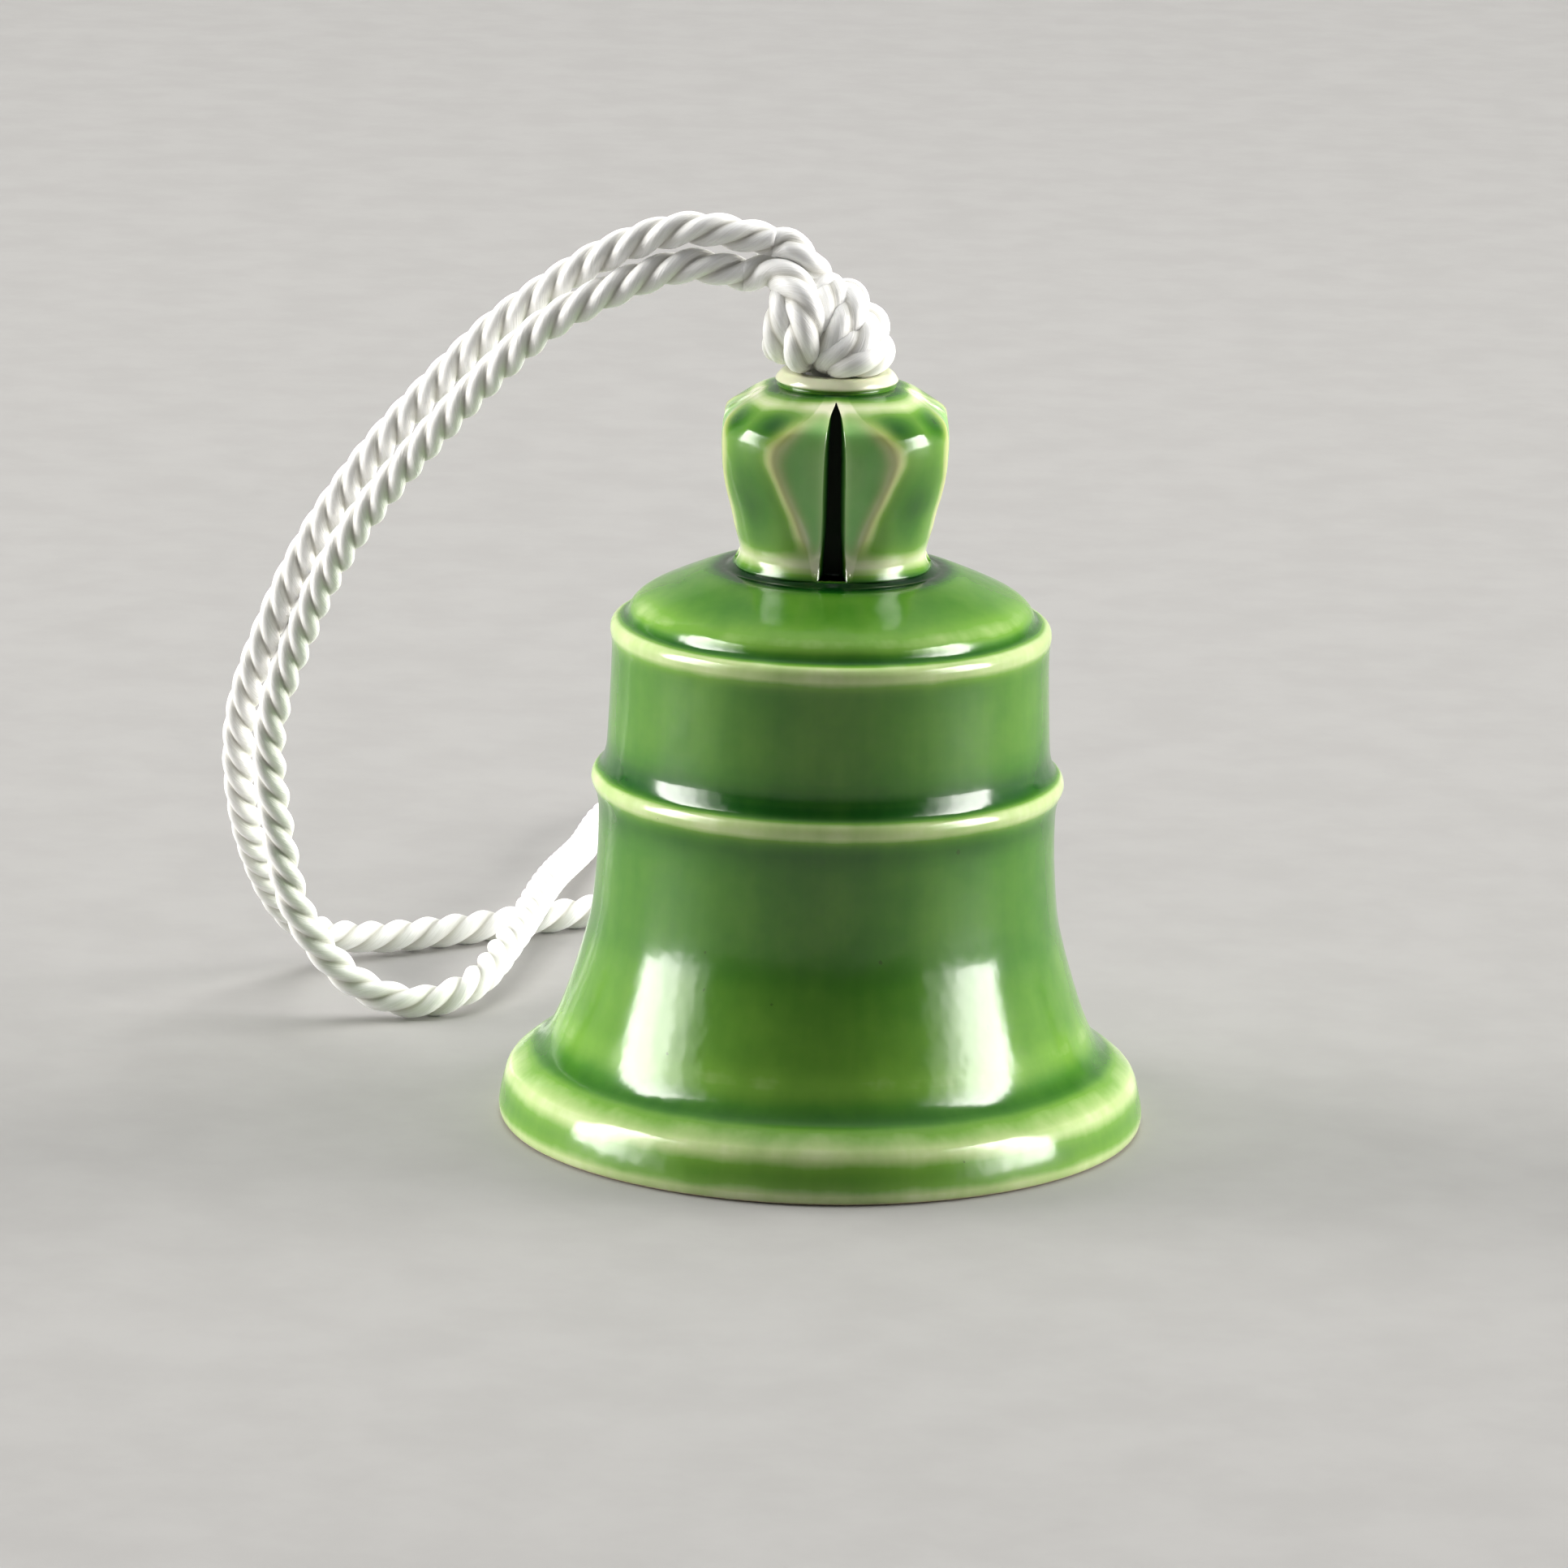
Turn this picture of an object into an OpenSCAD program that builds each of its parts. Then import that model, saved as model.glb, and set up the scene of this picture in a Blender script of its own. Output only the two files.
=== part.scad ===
// Ceramic bell ornament: a hollow glazed bell with a slotted crown, a doubled
// twisted cord knotted above and below the crown, and a ball clapper inside.
// Millimetres, +Z up, origin at the centre of the foot on the table.

/* [Bell] */
// Largest diameter, at the lip of the foot
foot_d = 59.2; // [58.8:0.2:59.6]
// Diameter of the waist above the lower rib
waist_d = 40; // [39.6:0.2:40.4]
// Height of the seat that the crown stands on
seat_z = 52.2; // [52:0.1:52.4]
// Thickness of the ceramic wall
wall = 3.1; // [2.6:0.1:3.4]
// Diameter of the cord holes in the ceiling and in the crown's rim
cord_hole_d = 7.4; // [7.2:0.1:8]

/* [Crown] */
// Height of the crown above its seat
crown_h = 17.7; // [17.5:0.1:18]
// Diameter of the rim that the top knot rests on
rim_d = 10.6; // [10:0.1:11]
// Width of a slot at mid height
slot_w = 2.2; // [1.8:0.1:2.6]
// Thickness of ceramic between the cord's channel and the end of a slot
channel_wall = 1.5; // [1:0.1:2]

/* [Cord] */
// Diameter of the twisted cord
cord_d = 3; // [2.8:0.1:3.1]
// How far the cord can be pulled up through the crown
lift_travel = 2.5; // [1.5:0.1:3]
// Diameter of the top knot
top_knot_d = 11.6; // [11:0.1:12.5]
// Height of the top knot
top_knot_h = 8.8; // [8:0.1:9.5]
// Diameter of the stopper knot under the ceiling
stopper_knot_d = 9.6; // [9:0.1:10.5]
// Height of the stopper knot
stopper_knot_h = 7.4; // [7:0.1:7.8]

/* [Clapper] */
// Diameter of the clapper ball
ball_d = 16; // [14:0.5:16]
// Height of the ball's centre
ball_z = 18; // [17.8:0.1:18.4]
// Diameter of the hole through the ball
ball_bore_d = 3.8; // [3.7:0.1:4]

/* [Hidden] */
$fn = 64;
glaze = [0.36, 0.6, 0.2];
pale_glaze = [0.5, 0.7, 0.3];
cord_white = [0.94, 0.94, 0.91];
foot_r = foot_d / 2;
waist_r = waist_d / 2;
foot_ring_w = 3.3;       // width of the bare ring that touches the table
body_r = waist_r + 0.9;  // narrowest part of the skirt, under the lower rib
ceiling_z = seat_z - 3.8;
curve_steps = 3;         // straight steps between two key points of an outline
body_gap = 0.3;          // air between pieces that move against each other
knot_gap = 0.2;          // air between the top knot and the rim
rim_h = 1.3;
rim_z = seat_z + crown_h;
cord_r = cord_d / 2;
strand_x = cord_r + 0.15; // each strand's distance from the axis in the crown
knot_face_r = 3.6;       // flat face where the strands enter a big knot
top_knot_z = rim_z + knot_gap;
stopper_top_z = ceiling_z - knot_gap - lift_travel;
stopper_bottom_z = stopper_top_z - stopper_knot_h;
pivot_z = stopper_bottom_z - body_gap - cord_r;
ball_flat_h = 7.6;       // from the ball's centre to its flat at each end of the bore
end_knot_d = 6.4;
end_knot_h = 4.6;
end_knot_face_r = 2.3;
tail_l = 4.5;
tail_lean = 35;
tail_y = 3;
slot_foot = -0.5;        // a slot is open at the seat, so it is cut from below it
slot_peak_z = 15.4;      // height of a slot's pointed top above the seat
tube_sides = 8;

// Outer outline of the bell from the foot to the crown's seat, as radius and height.
BELL_OUTSIDE = [
    [foot_r - 0.6, 0], [foot_r - 0.1, 0.4], [foot_r, 1], [foot_r - 0.2, 2.4],
    [foot_r - 0.6, 4], [foot_r - 1.4, 5.2], [foot_r - 2.4, 6], [foot_r - 3.6, 6.8],
    [body_r + 4, 8.2], [body_r + 3, 10.5], [body_r + 2, 13.5], [body_r + 1, 17],
    [body_r + 0.4, 20], [body_r, 25], [body_r, 29.4], [body_r + 0.3, 30.8],
    [body_r + 0.7, 32], [body_r + 0.4, 33], [waist_r + 0.4, 33.6], [waist_r + 0.3, 35],
    [waist_r, 40], [waist_r - 0.1, 44.4], [waist_r + 0.1, 46], [waist_r - 0.3, 46.8],
    [waist_r - 1.2, 47.2], [waist_r - 2, 48.3], [waist_r - 3.2, 49.2],
    [14, seat_z - 1.7], [11.5, seat_z - 0.7], [9.6, seat_z]
];

// Inner outline of the bell from the foot to the ceiling.
BELL_INSIDE = [
    [foot_r - 0.6 - foot_ring_w, 0], [foot_r - 4.4, 1.2], [foot_r - wall - 2, 3],
    [foot_r - wall - 3.5, 6], [body_r - wall + 4.1, 8.6], [body_r - wall + 2.8, 12],
    [body_r - wall + 1.5, 16], [body_r - wall + 0.6, 20], [body_r - wall + 0.1, 25.8],
    [body_r - wall, 32], [waist_r - wall + 0.4, 36], [waist_r - wall, 41],
    [waist_r - wall - 0.3, 44], [waist_r - wall - 1.3, ceiling_z - 2.8],
    [waist_r - wall - 3.1, ceiling_z - 1.5], [9, ceiling_z - 0.3], [5, ceiling_z]
];

// Half the crown's width across its slotted faces, against height above the seat.
CROWN_FACES = [
    [9.1, 0], [8.6, 1.1], [8.7, 2.3], [9, 3.7], [9.4, 5.5], [9.8, 7.3], [10.1, 9],
    [10.2, 11.5], [10, 13.3], [9.5, 14.1], [8.3, 14.9], [6.6, 15.9], [5.6, 16.4]
];

// Radius of the crown at its rounded corners, against height above the seat.
CROWN_CORNERS = [
    [9.2, 0], [8.7, 1.1], [9, 2.3], [9.8, 5.3], [10.7, 7.6], [11.4, 10],
    [11.6, 12], [11.2, 13.7], [9.3, 15.1], [7.6, 15.9], [5.6, 16.4]
];

// The hanging loop's centre line: out of the top knot, over the outer side of the
// arch, along the table, round the closed end and back under the inner side.
LOOP_ROUTE = [
    [-1.5, 0, 79], [-6, 0, 81.5], [-13.5, 0, 82.5], [-20.5, 1.5, 80], [-27.5, 4.5, 75],
    [-33, 7, 70], [-41.5, 12, 60], [-48, 17, 50], [-52.5, 21, 40], [-55.5, 26, 30],
    [-55.5, 31, 20], [-53.5, 40, 10], [-50, 47, 4], [-44.5, 52, 2], [-36.5, 57, 1.6],
    [-28, 62.5, 1.6], [-21, 67, 1.6], [-5, 75, 1.6], [8, 90, 1.6], [9, 106, 1.6],
    [0, 116, 1.6], [-13, 116, 1.6], [-22, 106, 2], [-25, 85, 3], [-27.5, 64, 5],
    [-30, 46, 4.5], [-33.5, 34, 2.5], [-39, 30, 1.6], [-45, 29, 4], [-50, 27, 11],
    [-52, 25.5, 20], [-52.5, 22.5, 30], [-49.5, 19, 40], [-45, 14, 50], [-38, 9, 60],
    [-29.5, 3.5, 70], [-23.5, 1, 75], [-14.5, 0, 79], [-8.5, 0, 78.5], [-4, 0, 76]
];

// A point between b and c on the smooth curve through a, b, c and d.
function between(a, b, c, d, t) =
    0.5 * (2 * b + (c - a) * t + (2 * a - 5 * b + 4 * c - d) * t * t
    + (3 * b - a - 3 * c + d) * t * t * t);

// A smooth line through the key points, with so many straight steps between two of them.
function smooth(keys, steps = curve_steps) = concat(
    [for (k = [0 : len(keys) - 2], step = [0 : steps - 1])
        between(keys[max(k - 1, 0)], keys[k], keys[k + 1],
            keys[min(k + 2, len(keys) - 1)], step / steps)],
    [keys[len(keys) - 1]]);

function unit(v) = v / norm(v);

// The route's direction at point k, between its two neighbours.
function heading(route, k) =
    unit(route[min(k + 1, len(route) - 1)] - route[max(k - 1, 0)]);

// A sideways direction for each ring, turned as little as possible from the last one.
function sideways(route, k = 0, last = [0, 1, 0]) =
    k == len(route) ? [] :
    let (h = heading(route, k), side = unit(last - (last * h) * h))
    concat([side], sideways(route, k + 1, side));

// A closed tube swept along a route.
module tube(route, radius) {
    sides = sideways(route);
    rings = len(route);
    points = [for (k = [0 : rings - 1], s = [0 : tube_sides - 1])
        let (turn = 360 * s / tube_sides, across = cross(heading(route, k), sides[k]))
        route[k] + radius * (cos(turn) * sides[k] + sin(turn) * across)];
    walls = [for (k = [0 : rings - 2], s = [0 : tube_sides - 1])
        let (a = k * tube_sides + s, b = k * tube_sides + (s + 1) % tube_sides)
        [a, a + tube_sides, b + tube_sides, b]];
    near_end = [for (s = [0 : tube_sides - 1]) s];
    far_end = [for (s = [tube_sides - 1 : -1 : 0]) (rings - 1) * tube_sides + s];
    polyhedron(points, concat(walls, [near_end, far_end]));
}

// A rounded knot standing on z = 0, with flat faces where its cords go in.
module knot(d, h, face_r) {
    belly = [for (turn = [-90 : 15 : 90])
        [face_r + (d / 2 - face_r) * cos(turn), h / 2 + h / 2 * sin(turn)]];
    rotate_extrude() polygon(concat([[0, 0]], belly, [[0, h]]));
}

module bell_body() {
    color(glaze) difference() {
        rotate_extrude()
            polygon(concat([[0, 0]], smooth(BELL_OUTSIDE), [[0, seat_z]]));
        rotate_extrude()
            polygon(concat([[0, -1], [BELL_INSIDE[0][0], -1]], smooth(BELL_INSIDE),
                [[0, ceiling_z]]));
        translate([0, 0, ceiling_z - 1]) cylinder(d = cord_hole_d, h = seat_z);
    }
}

// The crown's solid as seen from one slotted side, as long as the crown is wide.
module crown_faces() {
    half = smooth(CROWN_FACES);
    left = [for (k = [len(half) - 1 : -1 : 0]) [-half[k][0], half[k][1]]];
    rotate([90, 0, 0]) linear_extrude(height = 30, center = true)
        polygon(concat(half, left));
}

// A blind slot in one face, pointed at the top, that stops short of the cord's channel.
module slot() {
    half = slot_w / 2;
    translate([0, -cord_hole_d / 2 - channel_wall, 0]) rotate([90, 0, 0])
        linear_extrude(height = 10)
        polygon([
            [-half - 0.4, slot_foot], [half + 0.4, slot_foot], [half, 4.5],
            [half - 0.05, 9.5], [half - 0.3, 12.6], [0.2, slot_peak_z],
            [-0.2, slot_peak_z], [0.3 - half, 12.6], [0.05 - half, 9.5], [-half, 4.5]
        ]);
}

module crown() {
    color(pale_glaze) translate([0, 0, seat_z]) difference() {
        union() {
            intersection() {
                rotate_extrude()
                    polygon(concat([[0, 0]], smooth(CROWN_CORNERS), [[0, 16.4]]));
                crown_faces();
                rotate([0, 0, 90]) crown_faces();
            }
            translate([0, 0, crown_h - rim_h - 0.6]) cylinder(d = rim_d, h = rim_h + 0.6);
        }
        translate([0, 0, -1]) cylinder(d = cord_hole_d, h = crown_h + 2);
        for (quarter = [0 : 3]) rotate([0, 0, 90 * quarter]) slot();
    }
}

module hanging_loop() {
    color(cord_white) tube(smooth(LOOP_ROUTE, 2), cord_r);
}

module top_knot() {
    color(cord_white) translate([-0.5, 0, top_knot_z])
        knot(top_knot_d, top_knot_h, knot_face_r + 0.3);
}

// One of the two strands that run down through the crown and the ceiling.
module crown_strand(side) {
    bottom = stopper_top_z + body_gap;
    color(cord_white) translate([side * strand_x, 0, bottom])
        cylinder(d = cord_d, h = top_knot_z - bottom);
}

module left_strand() { crown_strand(-1); }

module right_strand() { crown_strand(1); }

module stopper_knot() {
    color(cord_white) translate([0, 0, stopper_bottom_z])
        knot(stopper_knot_d, stopper_knot_h, knot_face_r);
}

// The trimmed end of the second strand, leaning out under the stopper knot.
module cord_tail() {
    color(cord_white) difference() {
        translate([0, tail_y, stopper_bottom_z + 1]) rotate([180 + tail_lean, 0, 0])
            cylinder(d = cord_d - 0.4, h = tail_l + 1);
        stopper_space();
    }
}

module stopper_space() {
    translate([0, 0, stopper_bottom_z]) knot(stopper_knot_d, stopper_knot_h, knot_face_r);
}

module clapper_cord() {
    bottom = ball_z - ball_flat_h;
    color(cord_white) {
        translate([0, 0, bottom]) cylinder(d = cord_d, h = pivot_z - bottom);
        translate([0, 0, pivot_z]) sphere(d = cord_d);
    }
}

module clapper_ball() {
    color(glaze) translate([0, 0, ball_z]) difference() {
        intersection() {
            sphere(d = ball_d);
            cube([ball_d + 2, ball_d + 2, 2 * ball_flat_h], center = true);
        }
        cylinder(d = ball_bore_d, h = ball_d + 2, center = true);
    }
}

module end_knot() {
    color(cord_white) translate([0, 0, ball_z - ball_flat_h - end_knot_h])
        knot(end_knot_d, end_knot_h, end_knot_face_r);
}

bell_body();
crown();
hanging_loop();
top_knot();
left_strand();
right_strand();
stopper_knot();
cord_tail();
clapper_cord();
clapper_ball();
end_knot();
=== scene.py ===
"""A glazed ceramic bell ornament on a knotted cord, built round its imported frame.

Metres, +Z up, in the frame's own axes. Sizes that the frame does not give are written in
millimetres and turned into metres by MM.
"""

import math

import bpy
import numpy as np
from mathutils import Matrix, Vector


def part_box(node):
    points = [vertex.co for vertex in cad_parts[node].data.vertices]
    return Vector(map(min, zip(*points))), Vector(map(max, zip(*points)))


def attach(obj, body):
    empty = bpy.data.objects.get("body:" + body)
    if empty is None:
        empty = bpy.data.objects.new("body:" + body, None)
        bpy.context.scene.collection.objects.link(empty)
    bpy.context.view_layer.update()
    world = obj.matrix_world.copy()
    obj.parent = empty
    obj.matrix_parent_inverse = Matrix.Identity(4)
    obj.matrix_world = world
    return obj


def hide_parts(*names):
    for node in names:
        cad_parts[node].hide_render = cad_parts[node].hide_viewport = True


MM = 0.001

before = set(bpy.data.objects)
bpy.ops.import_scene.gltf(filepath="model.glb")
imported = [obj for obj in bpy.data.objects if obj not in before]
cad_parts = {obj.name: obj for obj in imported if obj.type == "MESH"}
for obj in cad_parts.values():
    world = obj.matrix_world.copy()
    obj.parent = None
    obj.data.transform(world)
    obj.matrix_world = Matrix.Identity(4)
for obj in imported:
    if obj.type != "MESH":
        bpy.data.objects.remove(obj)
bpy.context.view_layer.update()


# ---------------------------------------------------------------- camera

TARGET = Vector((0, 0, 0.035))
CAMERA_DISTANCE = 0.757
CAMERA_ELEVATION = math.radians(13.6)
CAMERA_ROLL = math.radians(1.32)
LENS = 190.5
SENSOR = 36
SHIFT_X = -0.0283         # as shares of the picture's width
SHIFT_Y = -0.0245


def make_camera():
    """A long lens a little above the bell, a touch off level, with the bell right of centre."""
    data = bpy.data.cameras.new("camera")
    data.lens = LENS
    data.sensor_width = SENSOR
    data.shift_x = SHIFT_X
    data.shift_y = SHIFT_Y
    data.clip_start = 0.05
    data.clip_end = 20
    camera = bpy.data.objects.new("camera", data)
    back = Vector((0, -math.cos(CAMERA_ELEVATION), math.sin(CAMERA_ELEVATION)))
    turn = Matrix.Rotation(math.pi / 2 - CAMERA_ELEVATION, 4, "X")
    camera.matrix_world = (
        Matrix.Translation(TARGET + back * CAMERA_DISTANCE)
        @ turn @ Matrix.Rotation(CAMERA_ROLL, 4, "Z")
    )
    bpy.context.scene.collection.objects.link(camera)
    bpy.context.scene.camera = camera


make_camera()


# ---------------------------------------------------------------- meshes

def add_object(name, vertices, faces, material, smooth=True):
    """A mesh object in the scene, from plain lists or arrays."""
    mesh = bpy.data.meshes.new(name)
    mesh.from_pydata([tuple(v) for v in vertices], [], [tuple(f) for f in faces])
    mesh.validate()
    mesh.update()
    mesh.polygons.foreach_set("use_smooth", [smooth] * len(mesh.polygons))
    mesh.materials.append(material)
    obj = bpy.data.objects.new(name, mesh)
    bpy.context.scene.collection.objects.link(obj)
    return obj


def add_attribute(obj, name, values):
    """One number for each vertex, read by the material."""
    layer = obj.data.attributes.new(name, "FLOAT", "POINT")
    layer.data.foreach_set("value", np.asarray(values, dtype=np.float32))


def join(name, objects):
    """Several mesh objects made into one."""
    bpy.ops.object.select_all(action="DESELECT")
    for obj in objects:
        obj.select_set(True)
    bpy.context.view_layer.objects.active = objects[0]
    bpy.ops.object.join()
    objects[0].name = name
    return objects[0]


def ride_as(obj, body, slot, *nodes):
    """Put a piece on its body and hide the CAD nodes that it replaces; slot is not used."""
    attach(obj, body)
    if nodes:
        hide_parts(*nodes)


# ---------------------------------------------------------------- materials

def new_material(name):
    """A material, its node tree and its shader."""
    material = bpy.data.materials.new(name)
    material.use_nodes = True
    tree = material.node_tree
    return material, tree, tree.nodes["Principled BSDF"]


def node(tree, kind, **settings):
    """A new shader node with some of its properties set."""
    made = tree.nodes.new(kind)
    for key, value in settings.items():
        setattr(made, key, value)
    return made


def ramp(tree, source, stops, smooth=True):
    """A colour ramp fed by source; stops are (position, colour)."""
    made = node(tree, "ShaderNodeValToRGB")
    made.color_ramp.interpolation = "EASE" if smooth else "LINEAR"
    elements = made.color_ramp.elements
    while len(elements) < len(stops):
        elements.new(0.5)
    for element, (position, colour) in zip(elements, stops):
        element.position = position
        element.color = (*colour, 1)
    tree.links.new(source, made.inputs["Fac"])
    return made.outputs["Color"]


def noise(tree, scale, detail=3, roughness=0.5, stretch=(1, 1, 1)):
    """Noise in object space, in features per metre, stretched along the axes."""
    place = node(tree, "ShaderNodeTexCoord")
    mapping = node(tree, "ShaderNodeMapping")
    mapping.inputs["Scale"].default_value = stretch
    tree.links.new(place.outputs["Object"], mapping.inputs["Vector"])
    made = node(tree, "ShaderNodeTexNoise")
    made.inputs["Scale"].default_value = scale
    made.inputs["Detail"].default_value = detail
    made.inputs["Roughness"].default_value = roughness
    tree.links.new(mapping.outputs["Vector"], made.inputs["Vector"])
    return made.outputs["Fac"]


def math_node(tree, operation, a, b, clamp=False):
    """A sum or comparison of two values, each a number or a socket."""
    made = node(tree, "ShaderNodeMath", operation=operation, use_clamp=clamp)
    for socket, value in zip(made.inputs, (a, b)):
        if isinstance(value, (int, float)):
            socket.default_value = value
        else:
            tree.links.new(value, socket)
    return made.outputs["Value"]


def mix_colours(tree, factor, a, b, blend="MIX"):
    """Two colours mixed by a factor; each value is a number, a colour or a socket."""
    made = node(tree, "ShaderNodeMix", data_type="RGBA", blend_type=blend)
    for socket, value in ((made.inputs[0], factor), (made.inputs[6], a), (made.inputs[7], b)):
        if isinstance(value, (int, float)):
            socket.default_value = value
        elif isinstance(value, tuple):
            socket.default_value = (*value, 1)
        else:
            tree.links.new(value, socket)
    return made.outputs[2]


def bump(tree, height, strength, distance, normal=None):
    """Fine relief from a height, on top of another normal where one is given."""
    made = node(tree, "ShaderNodeBump")
    made.inputs["Strength"].default_value = strength
    made.inputs["Distance"].default_value = distance
    tree.links.new(height, made.inputs["Height"])
    if normal is not None:
        tree.links.new(normal, made.inputs["Normal"])
    return made.outputs["Normal"]


def vertex_value(tree, name):
    """The number that add_attribute stored at each vertex."""
    return node(tree, "ShaderNodeAttribute", attribute_name=name).outputs["Fac"]


def centred(tree, source, amount):
    """A source of 0 to 1 as plus or minus half of the amount."""
    return math_node(tree, "MULTIPLY", math_node(tree, "SUBTRACT", source, 0.5), amount)


def srgb(red, green, blue):
    """A linear colour from 0 to 255 screen values."""
    def linear(value):
        value /= 255
        return value / 12.92 if value <= 0.04045 else ((value + 0.055) / 1.055) ** 2.4
    return linear(red), linear(green), linear(blue)


# The glaze's colour against its depth: cream where it breaks over a crest, dark where it
# pools, and at the top of the scale a painted shadow grey inside the crown's slots.
GLAZE_AND_SLOT_SHADOW_COLOURS = [
    (0.0, srgb(236, 238, 204)),
    (0.14, srgb(182, 203, 138)),
    (0.3, srgb(108, 156, 56)),
    (0.5, srgb(66, 120, 32)),
    (0.72, srgb(20, 80, 14)),
    (0.94, srgb(4, 44, 10)),
    (1.0, srgb(34, 40, 30)),
]
SLOT_SHADOW_DEPTH = 0.97         # depths above this are the slots' painted shadow, which is also dull
# a painted blue-green sheen: the windows' reflection inside the crown's leaves
SHEEN_GLAZE = srgb(134, 206, 120)
TAN_GLAZE = srgb(192, 192, 116)
CLAY_COLOURS = [(0.3, srgb(206, 186, 150)), (0.75, srgb(232, 218, 186))]
SPECK_COLOUR = srgb(48, 62, 22)
SPECKS_ABOVE = 0.82       # noise above this is a speck
GLAZE_ROUGHNESS = 0.1
BARE_ROUGHNESS = 0.7      # added where the clay is bare


def glaze_colour(tree, depth, bare, grain):
    """Green by depth, then a painted blue-green sheen inside the crown's leaves and tan on their
    ridges, then bare clay and a few dark specks.
    """
    colour = ramp(tree, depth, GLAZE_AND_SLOT_SHADOW_COLOURS, smooth=False)
    # above nought a painted sheen, below nought the tan of thin glaze on the ridges
    sheen_and_tan = vertex_value(tree, "sheen_and_tan")
    leaf_sheen = math_node(tree, "MAXIMUM", sheen_and_tan, 0.0)
    tan = math_node(tree, "MAXIMUM", math_node(tree, "MULTIPLY", sheen_and_tan, -1.0), 0.0)
    colour = mix_colours(tree, leaf_sheen, colour, SHEEN_GLAZE)
    colour = mix_colours(tree, tan, colour, TAN_GLAZE)
    colour = mix_colours(tree, bare, colour, ramp(tree, grain, CLAY_COLOURS))
    specks = math_node(tree, "GREATER_THAN", noise(tree, 900, 1, 0.3), SPECKS_ABOVE)
    return mix_colours(tree, math_node(tree, "MULTIPLY", specks, 0.5), colour, SPECK_COLOUR)


def glaze_roughness(tree, depth, bare, waviness):
    """Glossy glaze, dull where the clay is bare and inside the slots."""
    shine = math_node(tree, "ADD", math_node(tree, "MULTIPLY", waviness, 0.1), GLAZE_ROUGHNESS)
    in_slot = math_node(tree, "GREATER_THAN", depth, SLOT_SHADOW_DEPTH)
    dull = math_node(tree, "MULTIPLY", math_node(tree, "MAXIMUM", bare, in_slot), BARE_ROUGHNESS)
    return math_node(tree, "ADD", shine, dull, clamp=True)


def glaze_material():
    """Clear green glaze over pale clay: its depth sets its colour."""
    material, tree, shader = new_material("green_glaze")
    clouds = centred(tree, noise(tree, 150, 4, 0.55), 0.2)
    runs = centred(tree, noise(tree, 260, 3, 0.6, (1, 1, 0.12)), 0.12)
    uneven = math_node(tree, "ADD", clouds, runs)
    depth = math_node(tree, "ADD", vertex_value(tree, "glaze"), uneven, clamp=True)
    bare = vertex_value(tree, "bare")
    grain = noise(tree, 2500, 3, 0.6)
    waviness = noise(tree, 300, 2, 0.5)
    tree.links.new(glaze_colour(tree, depth, bare, grain), shader.inputs["Base Color"])
    tree.links.new(glaze_roughness(tree, depth, bare, waviness), shader.inputs["Roughness"])
    orange_peel = bump(tree, waviness, 0.35, 0.0002)
    pores = bump(tree, math_node(tree, "MULTIPLY", grain, bare), 0.6, 0.0001, orange_peel)
    tree.links.new(pores, shader.inputs["Normal"])
    shader.inputs["IOR"].default_value = 1.52
    shader.inputs["Subsurface Weight"].default_value = 0.1
    shader.inputs["Subsurface Radius"].default_value = (0.4, 1.0, 0.2)
    shader.inputs["Subsurface Scale"].default_value = 0.0012
    return material


CORD_COLOURS = [(0.3, srgb(244, 244, 241)), (0.7, srgb(254, 254, 253))]
# painted shade in the grooves between the strands
CORD_GROOVE_SHADE = srgb(200, 198, 188)
CORD_ROUGHNESS = 0.34


def cord_material():
    """White satin cord: fine filaments that run along each strand, with painted shade in the
    grooves between strands.
    """
    material, tree, shader = new_material("white_cord")
    place = node(tree, "ShaderNodeUVMap", uv_map="strand")
    mapping = node(tree, "ShaderNodeMapping")
    mapping.inputs["Scale"].default_value = (22, 1.4, 1)
    tree.links.new(place.outputs["UV"], mapping.inputs["Vector"])
    filaments = node(tree, "ShaderNodeTexNoise")
    filaments.inputs["Scale"].default_value = 1
    filaments.inputs["Detail"].default_value = 3
    tree.links.new(mapping.outputs["Vector"], filaments.inputs["Vector"])
    threads = filaments.outputs["Fac"]
    thread_colour = ramp(tree, threads, CORD_COLOURS)
    # painted shade, deepest in the grooves between strands
    colour = mix_colours(tree, vertex_value(tree, "valley"), thread_colour, CORD_GROOVE_SHADE)
    tree.links.new(colour, shader.inputs["Base Color"])
    rough = math_node(tree, "ADD", math_node(tree, "MULTIPLY", threads, 0.2), CORD_ROUGHNESS)
    tree.links.new(rough, shader.inputs["Roughness"])
    tree.links.new(bump(tree, threads, 0.6, 0.00012), shader.inputs["Normal"])
    shader.inputs["Sheen Weight"].default_value = 0.2
    shader.inputs["Sheen Roughness"].default_value = 0.4
    shader.inputs["Subsurface Weight"].default_value = 0.1
    shader.inputs["Subsurface Radius"].default_value = (1, 0.95, 0.85)
    shader.inputs["Subsurface Scale"].default_value = 0.0004
    return material


FLOOR_COLOURS = [(0.3, (0.3, 0.294, 0.285)), (0.7, (0.32, 0.314, 0.305))]


def floor_material():
    """A plain pale surface with a faint grain."""
    material, tree, shader = new_material("pale_floor")
    colour = ramp(tree, noise(tree, 90, 4, 0.6), FLOOR_COLOURS)
    tree.links.new(colour, shader.inputs["Base Color"])
    shader.inputs["Roughness"].default_value = 0.7
    return material


# ---------------------------------------------------------------- curves

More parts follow.
